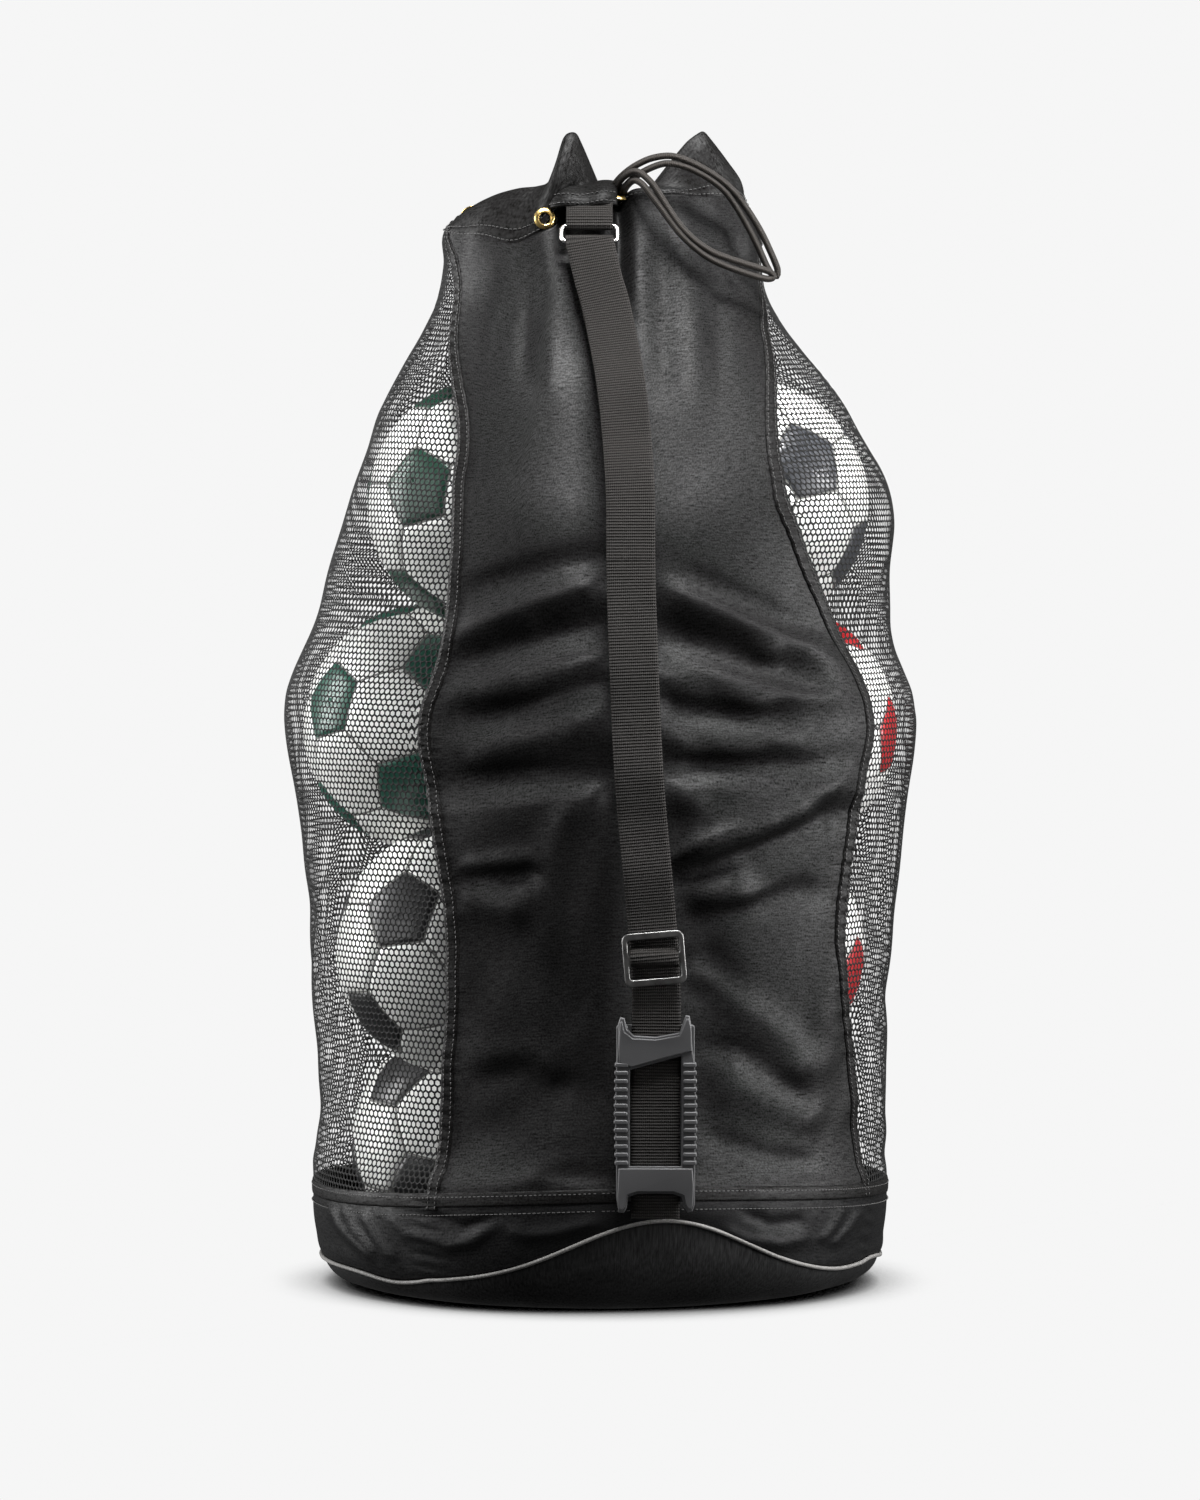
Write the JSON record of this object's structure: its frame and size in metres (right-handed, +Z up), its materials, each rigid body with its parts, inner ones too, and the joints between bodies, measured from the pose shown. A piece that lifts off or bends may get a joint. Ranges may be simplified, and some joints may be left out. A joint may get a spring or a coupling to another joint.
{
  "type": "mesh ball bag",
  "caption": "Drawstring sack with net side windows, coated base, eyeletted collar, and an adjustable shoulder strap with grip, filled with footballs.",
  "frame": {"origin": "centre of the base on the floor", "axes": "+Z up through the mouth, the strap side faces -Y, +X to the right seen from the strap side"},
  "size_m": [0.5563, 0.5284, 1.008],
  "materials": {
    "woven": "plain-woven polyester, dull",
    "net": "knitted hexagonal net",
    "coated_base": "coated woven cloth, low sheen",
    "piping": "light grey piping",
    "webbing": "ribbed flat webbing",
    "cord": "braided round cord",
    "eyelet_brass": "polished",
    "ring_steel": "bright plated wire",
    "slide_steel": "satin dark grey",
    "grip_plastic": "moulded, matt",
    "ball": "stitched panels, low gloss"
  },
  "bodies": {
    "bag": {"base_panel": "coated_base", "base_band": "coated_base", "base_piping": "piping", "front_panel": "woven", "net_window_right": "net", "back_panel": "woven", "net_window_left": "net", "collar_hem": "woven", "eyelet_1": "eyelet_brass", "eyelet_2": "eyelet_brass", "eyelet_3": "eyelet_brass", "eyelet_4": "eyelet_brass", "eyelet_5": "eyelet_brass", "eyelet_6": "eyelet_brass", "eyelet_7": "eyelet_brass", "eyelet_8": "eyelet_brass", "drawcord": "cord", "strap_tab": "webbing", "strap_anchor": "webbing", "strap_turn": "webbing", "seam_front_left": "woven", "seam_front_right": "woven", "seam_back_right": "woven", "seam_back_left": "woven", "ball_01": "ball", "ball_02": "ball", "ball_03": "ball", "ball_04": "ball", "ball_05": "ball", "ball_06": "ball", "ball_07": "ball", "ball_08": "ball", "ball_09": "ball", "ball_10": "ball", "ball_11": "ball"},
    "strap": {"strap_web": "webbing", "strap_return": "webbing"},
    "adjuster": {"tri_glide": "slide_steel", "strap_roll": "webbing"},
    "grip": {"shoulder_grip": "grip_plastic"},
    "ring": {"strap_ring": "ring_steel"},
    "fold_left": {"collar_fold_left": "woven"},
    "fold_right": {"collar_fold_right": "woven"},
    "loop_upper": {"pull_loop_upper": "cord"},
    "loop_lower": {"pull_loop_lower": "cord"}
  },
  "joints": [
    {"name": "strap_lift", "type": "hinge", "parent": "bag", "child": "strap", "pos_m": [0.0465, -0.2455, 0.086], "axis": [1, 0, 0], "range_deg": [0, 6]},
    {"name": "adjuster_slide", "type": "slide", "parent": "strap", "child": "adjuster", "axis": [-0.084, -0.0436, 0.9955], "range_m": [0, 0.1]},
    {"name": "grip_slide", "type": "slide", "parent": "strap", "child": "grip", "axis": [0, -0.0503, 0.9987], "range_m": [0, 0.022]},
    {"name": "ring_swing", "type": "hinge", "parent": "bag", "child": "ring", "pos_m": [-0.009, -0.093, 0.921], "axis": [1, 0, 0], "range_deg": [-6.5, 6.5]},
    {"name": "fold_left_open", "type": "hinge", "parent": "bag", "child": "fold_left", "pos_m": [-0.0346, -0.0592, 0.9585], "axis": [0.891, -0.454, 0], "range_deg": [-8, 14]},
    {"name": "fold_right_open", "type": "hinge", "parent": "bag", "child": "fold_right", "pos_m": [0.0958, -0.0425, 0.9585], "axis": [0.6428, 0.766, 0], "range_deg": [-8, 14]},
    {"name": "loop_upper_swing", "type": "hinge", "parent": "bag", "child": "loop_upper", "pos_m": [0.022, -0.076, 0.966], "axis": [0, -1, 0], "range_deg": [0, 40]},
    {"name": "loop_lower_swing", "type": "hinge", "parent": "bag", "child": "loop_lower", "pos_m": [0.022, -0.088, 0.957], "axis": [0, -1, 0], "range_deg": [0, 25]}
  ],
  "couplings": [
    {"joint": "fold_left_open", "follows": "fold_right_open", "ratio": 1}
  ]
}
